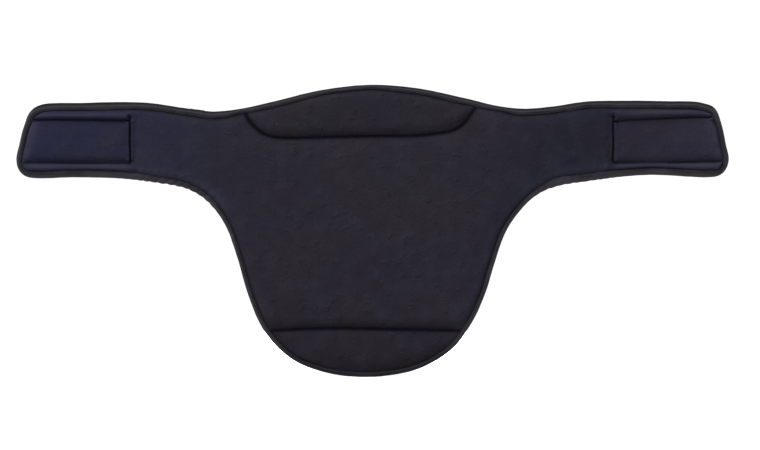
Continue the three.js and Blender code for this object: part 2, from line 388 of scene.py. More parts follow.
def painted_light_and_crush(places):
    """Painted light on the cloth: 1 where painted shade, with crushed cloth, makes it dark, below
    0 where a painted highlight makes it light.

    Painted shade darkens it along the stitch lines and in the valley at the binding's inner
    edge, where the cloth is also crushed, and it is a little darker over the upper and lower
    patches. Painted highlights lighten the tops of the end patches' rolls, and beside the
    binding along the lower arms, at the tips, and down the right side of the bib.
    """
    seam, _ = seam_near(places)
    _, i = edge_near(places)
    t = np.maximum(from_lip(places), 0)
    x, down = places[:, 0], FINE_IN[i, 1]
    tight = upright(places)
    # Painted shade along the stitch lines, where the cloth is also crushed.
    level = smooth(np.abs(x), 290, 318) * (1 - tight)
    reach = 2.9 + 2.4 * level - 1.9 * tight
    at_seam = (1 - 0.6 * level) * np.exp(-((seam / reach) ** 1.6))
    # Painted shade in the valley at the binding's inner edge, less along the lower edges and the
    # left end's top.
    low = smooth(np.abs(x), 190, 250) * smooth(down, 0.2, 0.7)
    left_top = smooth(-x, 290, 320) * smooth(-down, 0.2, 0.7)
    depth = (0.45 + 0.3 * ripple(i * FINE, 23, 43)) * (1 - 0.8 * low - 0.6 * left_top)
    at_lip = depth * np.exp(-((t / (1.6 + 0.8 * smooth(-down, 0.3, 0.8))) ** 1.5))
    # Painted highlights on the end patches' rolls, beside the binding along the lower arms and at
    # the tips, and down the right side of the bib.
    in_strip, wave = strips(places, t, seam)
    on_roll = in_strip * np.maximum(wave**2, low) * smooth(np.abs(x), 306, 324)
    low_arm = smooth(np.abs(x), 150, 210) * smooth(down, 0.3, 0.8) * (1 - in_strip)
    tip = smooth(np.abs(x), 415, 440)
    right_side = smooth(-FINE_IN[i, 0], 0.5, 0.9) * smooth(-np.abs(x), -230, -200)
    beside = np.maximum(np.maximum(low_arm, tip), 0.5 * right_side)
    painted_highlight = np.maximum(on_roll, 0.9 * beside * np.exp(-(((t - 4) / 7) ** 2)))
    # A little darker over the upper and lower patches.
    crest = smooth(places[:, 1], 122, 130) * smooth(-np.abs(x), -150, -120)
    behind = 0.09 * np.maximum(crest, smooth(-places[:, 1], 122, 130))
    return np.maximum(np.maximum(at_seam, at_lip), behind) - painted_highlight * np.clip(seam / 3, 0, 1)


def back_half(places):
    """How far the facing stands from the middle of the pad."""
    t = from_lip(places)
    seam, _ = seam_near(places)
    dip = np.exp(-((seam / 4.5) ** 1.6))
    roll = 0.3 * swell(places, 80, 15) + 0.12 * swell(places, 26, 16)
    return RIM_HALF + (FULL_HALF - RIM_HALF + roll) * rise(t, 3.0) * (1 - 0.55 * dip)


# ---- flat triangulation

HIDDEN_RIM = -3.0
RING_STEP = 1.8
LINING_RINGS = [-1.0, -0.2, 0.4, 1.0, 1.8, 2.9, 4.4, 6.4]
LINING_ROWS = [0, -0.8, 0.8, -1.6, 1.6, -2.7, 2.7, -4.2, 4.2]
FACING_RINGS = [-0.5, 0.5, 1.6, 3.2, 5.5]
FACING_ROWS = [0, -2.2, 2.2, -4.6, 4.6]


def triangulate(points, loops, chains=()):
    """Triangles over the flat places inside the loops, with the chains kept as edges.

    Loops and chains are lists of indices. Returns the places and the triangles, which run
    anticlockwise in x and z.
    """
    edges = [pair for chain in chains for pair in zip(chain, chain[1:])]
    verts, _, faces, _, _, _ = delaunay_2d_cdt(
        [Vector(p) for p in points], edges, [list(loop) for loop in loops], 1, 1e-4
    )
    places = np.array([tuple(v) for v in verts])
    triangles = np.array([tuple(f) for f in faces])
    a, b, c = places[triangles.T]
    turn = (b - a)[:, 0] * (c - a)[:, 1] - (b - a)[:, 1] * (c - a)[:, 0]
    triangles[turn < 0] = triangles[turn < 0][:, ::-1]
    return places, triangles[np.abs(turn) > 1e-7]


def lattice(spacing):
    """A staggered grid of flat places that covers the pad."""
    row = spacing * math.sqrt(3) / 2
    zs = np.arange(EDGE[:, 1].min(), EDGE[:, 1].max(), row)
    xs = np.arange(EDGE[:, 0].min(), EDGE[:, 0].max(), spacing)
    grid = [np.c_[xs + (k % 2) * spacing / 2, np.full(len(xs), z)] for k, z in enumerate(zs)]
    return np.vstack(grid)


def ring(offset, spacing):
    """Flat places at one distance from the binding's inner edge, all the way round."""
    edge = respaced(spline(OUTLINE, True, 60), spacing, True)
    reach = tape_width(edge) + offset
    places = edge + normals_of(edge, True) * reach[:, None]
    d, _ = edge_near(places)
    return places[d > reach - 0.25]


def seam_rows(offsets, spacing):
    """Flat places beside the stitch lines."""
    rows = []
    for line in SEAM_LINES.values():
        base = respaced(line, spacing)
        side = normals_of(base)
        rows += [base + side * offset for offset in offsets]
    places = np.vstack(rows)
    return places[inside(places)]


def cut_line(x):
    """Flat places up the line of a cut, from past the lower edge to past the upper one."""
    return np.c_[np.full(400, x), np.arange(400) * 2.0 - 300]


def pad_mesh(rings, rows, row_step, grid):
    """Places and triangles over the pad, out to a rim hidden in the binding.

    Rings and rows are the distances of its lines of places from the binding's inner edge
    and from the seams. The rest is a lattice.
    """
    outer = ring(HIDDEN_RIM, RING_STEP)
    beside = seam_rows(rows, row_step)
    beside = beside[from_lip(beside) > max(rings) + 0.5]
    field = lattice(grid)
    field = field[inside(field)]
    seam, _ = seam_near(field)
    field = field[(from_lip(field) > max(rings) + grid / 2) & (seam > max(rows) + grid / 2)]
    from_cut = np.min([np.abs(field[:, 0] - x) for x in CUTS], axis=0)
    points = [outer] + [ring(offset, RING_STEP) for offset in rings]
    points += [beside, field[from_cut > grid / 2]]
    start = sum(len(p) for p in points)
    chains = []
    for x in CUTS:
        line = cut_line(x)
        chains.append(range(start, start + len(line)))
        points.append(line)
        start += len(line)
    return triangulate(np.vstack(points), [range(len(outer))], chains)


# ---- pressure

PUFF_CAP = 1.5
PUFF_GRID = 6.0
PUFF_FRAMES = 16


def linked(name, data):
    """A new object in the scene."""
    made = bpy.data.objects.new(name, data)
    bpy.context.scene.collection.objects.link(made)
    return made


def puff_heights(places):
    """How much a slack lining, held at the binding and the seams, stands up on its foam.

    A cloth simulation blows up a coarse sheet of it. What it adds is capped by the foam.
    """
    outer = ring(0.0, 5.0)
    held = seam_rows([0.0], 4.0)
    held = held[from_lip(held) > 3]
    field = lattice(PUFF_GRID)
    field = field[inside(field)]
    seam, _ = seam_near(field)
    field = field[(from_lip(field) > 3.5) & (seam > 3.5)]
    flat, triangles = triangulate(np.vstack([outer, held, field]), [range(len(outer))])
    seam, _ = seam_near(flat)
    start = -1.5 * rise(np.minimum(from_lip(flat), seam), 14)
    mesh = bpy.data.meshes.new("pressure")
    verts = np.c_[flat[:, 0], start, flat[:, 1]] * MM
    mesh.from_pydata(verts.tolist(), [], triangles.tolist())
    sheet = linked("pressure", mesh)
    pins = np.flatnonzero((from_lip(flat) < 0.5) | (seam < 0.5))
    sheet.vertex_groups.new(name="held").add(pins.tolist(), 1.0, "REPLACE")
    cloth = sheet.modifiers.new("Cloth", "CLOTH")
    settings = cloth.settings
    settings.quality = 6
    settings.mass = 0.25
    settings.air_damping = 2
    settings.tension_stiffness = settings.compression_stiffness = 12
    settings.shear_stiffness = 4
    settings.bending_stiffness = 0.2
    settings.use_pressure = True
    settings.uniform_pressure_force = 5
    settings.vertex_group_mass = "held"
    settings.shrink_min = -0.006
    settings.effector_weights.gravity = 0
    cloth.point_cache.frame_start = 1
    cloth.point_cache.frame_end = PUFF_FRAMES
    for number in range(1, PUFF_FRAMES + 1):
        bpy.context.scene.frame_set(number)
    finer = sheet.modifiers.new("Finer", "SUBSURF")
    finer.levels = finer.render_levels = 1
    graph = bpy.context.evaluated_depsgraph_get()
    tree = BVHTree.FromObject(sheet, graph)
    heights = []
    for x, z in places:
        hit = tree.ray_cast(Vector((x * MM, -1, z * MM)), Vector((0, 1, 0)))[0]
        heights.append(0.0 if hit is None else -hit.y / MM)
    bpy.data.objects.remove(sheet)
    bpy.context.scene.frame_set(1)
    return PUFF_CAP * np.tanh(np.maximum(heights, -PUFF_CAP) / PUFF_CAP)


# ---- meshes

def new_object(name, verts, faces, smooth_faces, uv, loop_normals=None, light_and_crush=None):
    """An object from vertices in millimetres. Loop normals of zero keep a face's own."""
    mesh = bpy.data.meshes.new(name)
    mesh.from_pydata((np.asarray(verts) * MM).tolist(), [], faces)
    mesh.polygons.foreach_set("use_smooth", np.asarray(smooth_faces, bool))
    loops = np.zeros(len(mesh.loops), np.int32)
    mesh.loops.foreach_get("vertex_index", loops)
    layer = mesh.uv_layers.new(name="rest")
    layer.data.foreach_set("uv", np.asarray(uv, np.float32)[loops].ravel())
    # The painted shade and highlight, with crushed cloth, go on the mesh as an attribute.
    if light_and_crush is not None:
        values = mesh.attributes.new("painted_light_and_crush", "FLOAT", "POINT")
        values.data.foreach_set("value", np.asarray(light_and_crush, np.float32))
    if loop_normals is not None:
        mesh.normals_split_custom_set(loop_normals(loops).tolist())
    mesh.validate()
    return linked(name, mesh)


def smooth_normals(verts, faces):
    """Area-weighted vertex normals of a surface of triangles, or of quads."""
    corner = verts[faces]
    across = np.cross(corner[:, 2] - corner[:, 0], corner[:, -1] - corner[:, 1])
    out = np.zeros_like(verts)
    for k in range(faces.shape[1]):
        np.add.at(out, faces[:, k], across)
    return out / np.maximum(np.linalg.norm(out, axis=1), 1e-12)[:, None]


def tube(rings, around, closed=False):
    """Quads between the rings of a tube, and its two end faces unless it closes on itself."""
    faces = [
        (r * around + c, r * around + (c + 1) % around,
         (r + 1) % rings * around + (c + 1) % around, (r + 1) % rings * around + c)
        for r in range(rings if closed else rings - 1) for c in range(around)
    ]
    if closed:
        return faces
    end = (rings - 1) * around
    return faces + [tuple(range(around))[::-1], tuple(range(end, end + around))]


def boundary_loop(triangles):
    """The one loop of edges that only one triangle uses, in the triangles' direction."""
    edges = np.vstack([triangles[:, [0, 1]], triangles[:, [1, 2]], triangles[:, [2, 0]]])
    there = set(map(tuple, edges.tolist()))
    following = {a: b for a, b in there if (b, a) not in there}
    first = min(following)
    loop = [first]
    while following[loop[-1]] != first:
        loop.append(following[loop[-1]])
    return loop


def half_pad(name, places, half, triangles, normals, side):
    """One closed half of the pad: a fine outer face, a wall, and a plain face inside it.

    Side is -1 for the lining's half and 1 for the facing's.
    """
    used, flat = np.unique(triangles, return_inverse=True)
    triangles = flat.reshape(-1, 3)
    outer = np.c_[places[used, 0], MIDDLE + side * half[used], places[used, 1]]
    loop = boundary_loop(triangles)
    rim = places[used][loop]
    field = lattice(9.0)
    field = field[inside(field)]
    field = field[from_lip(field) > 1]
    low, high = rim[:, 0].min() + 5, rim[:, 0].max() - 5
    field = field[(field[:, 0] > low) & (field[:, 0] < high)]
    core, core_triangles = triangulate(np.vstack([rim, field]), [range(len(rim))])
    core_y = np.full(len(core), MIDDLE + side * 0.1)
    count = len(outer)
    verts = np.vstack([outer, np.c_[core[:, 0], core_y, core[:, 1]]])
    wall = [(loop[k], k + count, (k + 1) % len(loop) + count, loop[(k + 1) % len(loop)])
            for k in range(len(loop))]
    faces = triangles.tolist() + (core_triangles[:, ::-1] + count).tolist() + wall
    if side > 0:
        faces = [face[::-1] for face in faces]
    is_outer = np.arange(len(faces)) < len(triangles)

    def loop_normals(loop_verts):
        out = np.zeros((len(loop_verts), 3))
        fine = 3 * len(triangles)
        out[:fine] = normals[used][loop_verts[:fine]]
        return out

    uv = verts[:, [0, 2]] * MM
    # Painted shade and highlight on the outer face, none inside.
    light_and_crush = np.r_[painted_light_and_crush(places[used]), np.zeros(len(core))]
    return new_object(name, verts, faces, is_outer, uv, loop_normals, light_and_crush)


# Each part of the pad: its stretch of x, and the CAD bodies whose solids it stands for.
PARTS = {
    "left_outer": (-1000, -ARM_CUT, ["left_end"]),
    "left_shoulder": (-ARM_CUT, -BODY_CUT, ["left_arm"]),
    "middle": (-BODY_CUT, BODY_CUT, ["centre", "lower_flap"]),
    "right_shoulder": (BODY_CUT, ARM_CUT, ["right_arm"]),
    "right_outer": (ARM_CUT, 1000, ["right_end"]),
}


def bend(piece, part):
    """Bakes the piece's transform into its mesh, whatever its part of the pad."""
    if part == "middle":
        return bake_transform(piece)
    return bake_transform(piece)


def add_face(kind, side, mesh, half, material):
    """The lining's or the facing's half of the pad, as one closed piece for each part."""
    places, triangles = mesh
    surface = np.c_[places[:, 0], MIDDLE + side * half, places[:, 1]]
    normals = smooth_normals(surface, triangles) * -side
    middle_x = places[triangles, 0].mean(1)
    for part, (low, high, bodies) in PARTS.items():
        chosen = triangles[(middle_x > low) & (middle_x < high)]
        piece = half_pad(f"{kind}_{part}", places, half, chosen, normals, side)
        piece.data.materials.append(material)
        bend(piece, part)
        layers = ["lining", "foam"] if kind == "lining" else ["facing"]
        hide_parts(*[f"{layer}_{body}" for layer in layers for body in bodies])


# ---- binding

# Section of the tape on one face as (share of its width in from the edge, half), from the
# fold at the rim to its inner edge; then its hidden underside back to the fold.
TAPE_TOP = [
    (0.0, 0.0), (0.025, 1.2), (0.09, 2.3), (0.2, 3.3), (0.34, 3.95), (0.5, 4.15),
    (0.66, 3.95), (0.76, 3.6), (0.84, 3.52), (0.93, 3.3), (0.985, 3.0), (1.0, 2.7), (0.99, 2.4),
]
TAPE_UNDER = [(0.6, 2.35), (0.36, 2.2), (0.24, 1.4), (0.2, 0.0)]
SEWN_AT = (0.76, 3.6)
AHEAD = 0.8


def tape_section():
    """The closed section of the tape: front fold to inner edge, under, and round the back."""
    top = np.array(TAPE_TOP)
    under = np.array(TAPE_UNDER)
    mirror = np.array([1, -1])
    return np.vstack([
        top, under, (under * mirror)[-2::-1], (top * mirror)[:0:-1],
    ])


def lapped():
    """1 where one end of a tape lies over the other: on the left arm's top and the right
    arm's lower edge."""
    x, upper = EDGE[:, 0], EDGE[:, 1] > 110
    left = upper & (x > -238) & (x < -218)
    right = ~upper & (x > 232) & (x < 262)
    return (left | right).astype(float)


def tape_surface():
    """Vertices of the whole binding as an array of stations by section points."""
    section = tape_section()
    s = EDGE_S[:, None]
    top = np.abs(section[:, 1])[None] / 4.6
    shown = np.r_[np.ones(len(TAPE_TOP)), np.zeros(2 * len(TAPE_UNDER) - 1),
                  np.ones(len(TAPE_TOP) - 1)][None]
    front = np.sign(section[:, 1])[None]
    pulled = gather(EDGE)[:, None]
    slant = 3.5 * section[:, 0][None]
    crinkle = 0.75 * puckers(s + slant, 21) + 0.3 * ripple(s + 2 * slant, 4.2, 22)
    crinkle_back = 0.75 * puckers(s - slant, 23) + 0.3 * ripple(s, 4.7, 24)
    rough = np.where(front >= 0, crinkle, crinkle_back)
    soft = 0.14 * ripple(s, 13, 25) + 0.08 * ripple(s, 5, 26)
    lap = lapped()[:, None]
    out = shown * top * (pulled * rough * 0.85 + soft + 0.55 * lap)
    half = section[:, 1][None] + front * out
    wobble = 0.04 * ripple(s, 17, 27) + 0.045 * ripple(s, 7, 29)
    width = LIP[:, None] * (1 + wobble + 0.06 * pulled * ripple(s, 4.1, 28))
    inward = section[:, 0][None] * width
    scallop = pulled * 0.55 * puckers(s, 21) + 0.12 * ripple(s, 9, 30) + 0.5 * lap
    inward = inward - scallop * (1 - section[:, 0][None])
    place = EDGE[:, None] + EDGE_IN[:, None] * inward[..., None]
    return np.stack([place[..., 0], MIDDLE - half, place[..., 1]], axis=-1)


def tape_runs():
    """The binding's runs, clockwise: part of the pad, first and last station, and the CAD
    solids that each stands for."""
    x, z = EDGE[:, 0], EDGE[:, 1]

    def crossing(at, upper):
        ahead = x if upper else -x
        limit = at if upper else -at
        hit = (ahead <= limit) & (np.roll(ahead, -1) > limit) & ((z > 100) == upper)
        return int(np.flatnonzero(hit)[0])

    top = [crossing(at, True) for at in CUTS]
    low = [crossing(at, False) for at in reversed(CUTS)]
    return {
        "left_top": ("left_shoulder", top[0], top[1], ["left_arm_top"]),
        "crest": ("middle", top[1], top[2], ["crest"]),
        "right_top": ("right_shoulder", top[2], top[3], ["right_arm_top"]),
        "right_end": ("right_outer", top[3], low[0], ["right_end"]),
        "right_low": ("right_shoulder", low[0], low[1], ["right_arm_bottom"]),
        "bib": ("middle", low[1], low[2], ["bib_left", "bib_right", "lower_flap"]),
        "left_low": ("left_shoulder", low[2], low[3], ["left_arm_bottom"]),
        "left_end": ("left_outer", low[3], top[0] + len(EDGE), ["left_end"]),
    }


def add_binding(material, thread):
    """The folded tape in eight runs, each with its rows of stitches."""
    surface = tape_surface()
    stations, around = surface.shape[:2]
    flat = surface.reshape(-1, 3)
    normals = smooth_normals(flat, np.array(tube(stations, around, True)))
    girth = along(tape_section() * np.array([8.0, 1.0]))
    for name, (part, first, last, nodes) in tape_runs().items():
        rows = np.arange(first, last + 1)
        chosen = ((rows % stations)[:, None] * around + np.arange(around)).ravel()
        faces = tube(len(rows), around)

        def loop_normals(loop_verts):
            out = normals[chosen][loop_verts]
            out[4 * (len(faces) - 2):] = 0
            return out

        uv = np.c_[np.repeat(rows * STATION, around), np.tile(girth, len(rows))] * MM
        is_smooth = [True] * (len(faces) - 2) + [False] * 2
        # Each vertex carries the tape's painted shade and highlight.
        piece = new_object(f"binding_{name}", flat[chosen], faces, is_smooth, uv, loop_normals,
                           tape_painted_light(rows % stations))
        piece.data.materials.append(material)
        bend(piece, part)
        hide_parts(*[f"binding_{node}" for node in nodes])
        row = tape_stitches(surface, rows % stations)
        bend(add_stitches(f"binding_stitches_{name}", row, thread), part)


def tape_painted_light(rows):
    """Painted light across the tape: painted shade darkest below 0, painted highlight most at
    0.1, plain at 0.5, painted shade at 1.

    The rim has the most painted highlight. Along the top the rim has painted shade and the
    highlight sits a third of the way in, and down the left side of the bib the rim has painted
    shade too. Along the lower arms its inner edge stays plain, and along the foot painted
    shade darkens the whole tape.
    """
    share = tape_section()[:, 0][None]
    # Painted shade on the rim along the top.
    top = smooth(-EDGE_IN[rows, 1], 0.5, 0.9)[:, None]
    on_top = np.interp(share, [0, 0.3, 0.5, 0.75, 1], [-0.9, -0.65, 0.3, 0.48, 0.6])
    past_end = smooth(EDGE[rows, 0], -340, -290)[:, None]
    on_top = on_top + past_end * (0.5 * share * (1 - share) + 0.25 * share**6)
    # Painted shade along the foot.
    foot = smooth(-EDGE[rows, 1], 150, 178)[:, None]
    low = smooth(np.abs(EDGE[rows, 0]), 190, 250) * smooth(EDGE_IN[rows, 1], 0.2, 0.7)
    low = low[:, None]
    on_low = np.minimum(share, 0.6)
    # Painted shade on the rim down the left side of the bib.
    left_side = smooth(EDGE_IN[rows, 0], 0.6, 0.9) * smooth(-np.abs(EDGE[rows, 0]), -230, -200)
    elsewhere = share - 0.9 * left_side[:, None] * (1 - smooth(share, 0.1, 0.35))
    painted_light_mark = elsewhere * (1 - top) * (1 - low) + on_top * top + on_low * low + 0.4 * foot
    return painted_light_mark.ravel()


def tape_stitches(surface, rows):
    """Places, directions and outward sides of the stitches of a run of binding."""
    front = TAPE_TOP.index(SEWN_AT)
    out = []
    for side, index in ((-1, front), (1, len(tape_section()) - front)):
        line = surface[rows, index]
        s = np.arange(len(line)) * STATION
        at = np.arange(BINDING_STITCH, s[-1] - BINDING_STITCH, BINDING_STITCH)
        place = places_at(at, s, line)
        out.append((place, places_at(at + AHEAD, s, line) - place, np.full(len(at), side)))
    return [np.concatenate(column) for column in zip(*out)]


# ---- stitches

STITCH_SIDES = 6
STITCH_RISE = [-0.55, 0.02, 0.2, 0.02, -0.55]
STITCH_RADIUS = [0.2, 0.27, 0.3, 0.27, 0.2]
STITCH_SPAN = [-0.5, -0.34, 0, 0.34, 0.5]
STITCH_LENGTH = 2.7


def add_stitches(name, row, material):
    """One mesh of many short threads, each dipping into the cloth at both ends."""
    place, direction, side = row
    direction = direction / np.linalg.norm(direction, axis=1)[:, None]
    up = np.zeros_like(place)
    up[:, 1] = side
    across = np.cross(direction, up)
    verts = []
    angle = 2 * math.pi * np.arange(STITCH_SIDES) / STITCH_SIDES
    for span, lift, radius in zip(STITCH_SPAN, STITCH_RISE, STITCH_RADIUS):
        centre = place + direction * span * STITCH_LENGTH + up * lift
        turn = (across[:, None] * np.cos(angle)[None, :, None]
                + up[:, None] * np.sin(angle)[None, :, None])
        verts.append(centre[:, None] + radius * turn)
    verts = np.stack(verts, axis=1).reshape(-1, 3)
    one = tube(len(STITCH_RISE), STITCH_SIDES)
    size = len(STITCH_RISE) * STITCH_SIDES
    faces = [tuple(k * size + v for v in face) for k in range(len(place)) for face in one]
    uv = verts[:, [0, 2]] * MM
    made = new_object(name, verts, faces, [True] * len(faces), uv)
    made.data.materials.append(material)
    return made


def seam_stitches(name, side):
    """Places, directions and outward sides of the stitches of one seam on one face."""
    line = SEAM_LINES[name]
    line = line[from_lip(line) > 0.5]
    s = along(line)
    at = np.arange(STITCH / 2, s[-1], STITCH)
    place = places_at(at, s, line)
    step = places_at(at + AHEAD, s, line) - place
    half = front_half(place, 0.0) if side < 0 else patch_half(place, name)
    out = MIDDLE + side * (half + 0.05)
    direction = np.c_[step[:, 0], np.zeros(len(at)), step[:, 1]]
    direction[-1] = direction[-2]
    return np.c_[place[:, 0], out, place[:, 1]], direction, np.full(len(at), side)


def follow(piece, name):
    """Ties a piece of the upper patch to the centre body; a piece of another patch only has its
    transform baked.
    """
    if name == "upper":
        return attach(piece, "centre")
    return bend(piece, {"left": "left_outer", "right": "right_outer", "lower": "middle"}[name])


def add_seams(material):
    """The stitches of the four patches, on the lining and on the patches."""
    for name in SEAMS:
        for face, side in (("lining", -1), ("patch", 1)):
            row = seam_stitches(name, side)
            made = add_stitches(f"stitches_{name}_{face}_side", row, material)
            follow(made, name)
            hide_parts(f"seam_thread_{name}_{face}_side")


# ---- hook patches

PATCH_STEP = 1.5
PATCH_GAP = 0.6


def patch_outline(name):
    """The patch's edge as a closed line: outside its seam, and along the binding."""
    line = respaced(spline(SEAMS[name]), PATCH_STEP)
    outward = SEAM_TO_EDGE if name in ("right", "upper") else -SEAM_TO_EDGE
    grown = line + normals_of(line) * outward
    grown = grown[inside(grown) & (from_lip(grown) > PATCH_GAP)]
    edge = respaced(EDGE, PATCH_STEP, True)
    reach = tape_width(edge) + PATCH_GAP
    lip = edge + normals_of(edge, True) * reach[:, None]
    first, last = (int(np.linalg.norm(lip - p, axis=1).argmin()) for p in (grown[-1], grown[0]))
    count = len(lip)
    forward = [(first + k) % count for k in range((last - first) % count + 1)]
    backward = [(first - k) % count for k in range((first - last) % count + 1)]
    way = forward if len(forward) < len(backward) else backward
    return np.vstack([grown, lip[way[1:-1]]])


def patch_half(places, name):
    """How far the patch's face stands from the middle of the pad."""
    d, _ = PATCH_NEAR[name](places)
    seam, j = seam_near(places)
    stitched = 1 + 0.3 * np.cos(2 * math.pi * SEAM_S[j] / STITCH)
    dent = 0.35 * np.exp(-((seam / 0.8) ** 2)) * stitched
    rounded = 0.6 * np.exp(-d / 0.5)
    return back_half(places) + HOOK_TAPE - dent - rounded


PATCH_OUTLINE = {name: patch_outline(name) for name in SEAMS}
PATCH_NEAR = {name: Near(respaced(line, FINE, True)) for name, line in PATCH_OUTLINE.items()}


def add_patch(name, material):
    """A patch of hook tape that follows the facing, with thickness."""
    outline = PATCH_OUTLINE[name]
    after = np.roll(outline, -1, 0)
    turn = np.sign((outline[:, 0] * after[:, 1] - outline[:, 1] * after[:, 0]).sum())
    area = np.vstack([lattice(3.0), seam_rows([0.0, -0.7, 0.7], 1.6)])
    d, i = PATCH_NEAR[name](area)
    samples = respaced(outline, FINE, True)
    inward = ((area - samples[i]) * normals_of(samples, True)[i]).sum(1) * -turn > 0
    rim = respaced(outline, PATCH_STEP, True)
    rim_in = normals_of(rim, True) * -turn
    rims = np.vstack([rim + rim_in * offset for offset in (0.3, 0.8, 1.6)])
    d_rim, _ = PATCH_NEAR[name](rims)
    points = np.vstack([outline, rims[d_rim > 0.2], area[inward & (d > 2.2)]])
    places, triangles = triangulate(points, [range(len(outline))])
    top = np.c_[places[:, 0], MIDDLE + patch_half(places, name), places[:, 1]]
    under = np.c_[places[:, 0], MIDDLE + back_half(places) + 0.1, places[:, 1]]
    count = len(places)
    loop = boundary_loop(triangles)
    following = loop[1:] + loop[:1]
    wall = [(a, b, b + count, a + count) for a, b in zip(loop, following)]
    faces = triangles[:, ::-1].tolist() + (triangles + count).tolist() + wall
    is_smooth = [True] * (2 * len(triangles)) + [False] * len(wall)
    uv = np.vstack([places, places]) * MM
    made = new_object(f"hook_patch_{name}", np.vstack([top, under]), faces, is_smooth, uv)
    made.data.materials.append(material)
    follow(made, name)
    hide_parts(f"hook_patch_{name}")


# ---- materials

class Nodes:
    """Short calls to make a material's nodes and join them."""

    def __init__(self, name):
        self.material = bpy.data.materials.new(name)
        self.material.use_nodes = True
        self.tree = self.material.node_tree
        self.shader = self.tree.nodes["Principled BSDF"]

    def put(self, node, inputs):
        """Sets or joins a node's inputs, given by name, or by number as i0, i1 and so on."""
        for key, value in inputs.items():
            by_number = key[0] == "i" and key[1:].isdigit()
            socket = node.inputs[int(key[1:]) if by_number else key.replace("_", " ")]
            if isinstance(value, bpy.types.NodeSocket):
                self.tree.links.new(value, socket)
            else:
                socket.default_value = value

    def add(self, kind, settings=None, **inputs):
        """A new node, with its settings and its inputs."""
        node = self.tree.nodes.new("ShaderNode" + kind)
        for key, value in (settings or {}).items():
            setattr(node, key, value)
        self.put(node, inputs)
        return node

    def shade(self, **inputs):
        """Sets or joins inputs of the material's shader."""
        self.put(self.shader, inputs)

    def uv(self):
        """The place on the cloth laid flat, in metres."""
        return self.mapped(self.add("UVMap", {"uv_map": "rest"}).outputs[0])

    def mapped(self, vector, **inputs):
        """A vector moved, turned or scaled."""
        return self.add("Mapping", Vector=vector, **inputs).outputs[0]

    def painted_light_mark(self):
        """The painted shade and highlight, with crushed cloth, that the mesh carries at each
        vertex.
        """
        return self.add("Attribute", {"attribute_name": "painted_light_and_crush"}).outputs["Fac"]

    def maths(self, operation, a, b=0.0):
        """The result of a maths operation on one or two values."""
        return self.add("Math", {"operation": operation}, i0=a, i1=b).outputs[0]

    def noise(self, vector, scale, detail=2.0, roughness=0.5):
        """Cloudy noise, from 0 to 1."""
        inputs = {"Scale": scale, "Detail": detail, "Roughness": roughness}
        return self.add("TexNoise", Vector=vector, **inputs).outputs[0]

    def wave(self, vector, axis, scale, distortion, detail_scale=1.0):
        """Smooth bands along an axis, from 0 to 1."""
        inputs = {"Scale": scale, "Distortion": distortion, "Detail": 1.0}
        node = self.add("TexWave", {"bands_direction": axis}, Vector=vector,
                        Detail_Scale=detail_scale, **inputs)
        return node.outputs[1]

    def ramp(self, value, low, high, start=0.0, end=1.0):
        """Start where the value is low, end where it is high, and between in between."""
        inputs = {"From_Min": low, "From_Max": high, "To_Min": start, "To_Max": end}
        return self.add("MapRange", Value=value, **inputs).outputs[0]

    def mix(self, share, a, b):
        """Colour a, with a share of colour b."""
        return self.add("Mix", {"data_type": "RGBA"}, i0=share, i6=a, i7=b).outputs[2]

    def bump(self, height, strength, distance, **normal):
        """A normal bent by a height, on top of another bump's normal if one is given."""
        inputs = {"Height": height, "Strength": strength, "Distance": distance, **normal}
        return self.add("Bump", **inputs).outputs[0]


def linear(red, green, blue):
    """A colour of 0 to 255 as the screen shows it, as linear light."""
    values = [c / 255 for c in (red, green, blue)]
    return [c / 12.92 if c <= 0.04045 else ((c + 0.055) / 1.055) ** 2.4 for c in values] + [1.0]


